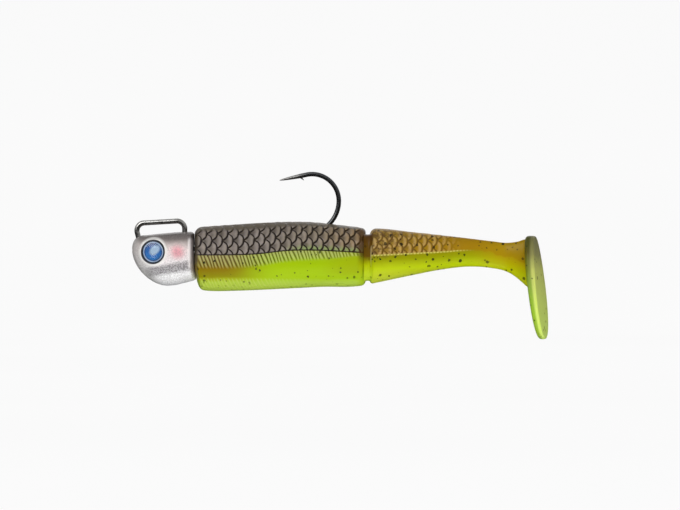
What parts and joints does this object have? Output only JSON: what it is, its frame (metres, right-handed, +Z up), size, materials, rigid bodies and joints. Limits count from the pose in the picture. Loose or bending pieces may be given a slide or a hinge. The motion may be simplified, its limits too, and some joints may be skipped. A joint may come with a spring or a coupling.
{
  "type": "swimbait",
  "caption": "Soft-bodied fishing lure: cast head hung from a long wire line tie, swinging barbed hook, jointed body and a paddle tail that kicks sideways.",
  "frame": {"origin": "middle of the line tie's top wire, where the fishing line pulls", "axes": "+X from the nose to the tail, +Y to the lure's right side as seen by its own nose-to-tail line (away from the pictured side), +Z up"},
  "size_m": [0.1197, 0.0172, 0.0483],
  "materials": {
    "cast_silver": "satin",
    "stainless_wire": "polished",
    "black_nickel": "gloss",
    "blue_foil": "gloss",
    "clear_resin": "polished",
    "keeper_plastic": "matte",
    "soft_plastic_front": "gloss",
    "soft_plastic_web": "gloss",
    "soft_plastic_tail": "gloss",
    "soft_plastic_paddle": "gloss"
  },
  "bodies": {
    "head": {"head_casting": "cast_silver", "line_tie_bail": "stainless_wire", "left_iris_disc": "blue_foil", "right_iris_disc": "blue_foil", "left_eye_lens": "clear_resin", "right_eye_lens": "clear_resin"},
    "front": {"hook": "black_nickel", "bait_keeper": "keeper_plastic", "front_body": "soft_plastic_front"},
    "tail": {"joint_web": "soft_plastic_web", "tail_section": "soft_plastic_tail"},
    "paddle": {"paddle_tail": "soft_plastic_paddle"}
  },
  "joints": [
    {"name": "head_swing", "type": "hinge", "parent": "head", "child": "front", "pos_m": [0.00695, 0, -0.0078], "axis": [0, 0, 1], "range_deg": [-12, 12]},
    {"name": "tail_joint", "type": "hinge", "parent": "front", "child": "tail", "pos_m": [0.05975, 0, -0.0104], "axis": [0, 0, 1], "range_deg": [-15, 15], "stiffness_Nm_per_rad": 0.002},
    {"name": "paddle_kick", "type": "hinge", "parent": "tail", "child": "paddle", "pos_m": [0.0994, 0, -0.0101], "axis": [0, 0, 1], "range_deg": [-24, 56], "stiffness_Nm_per_rad": 0.0007}
  ]
}
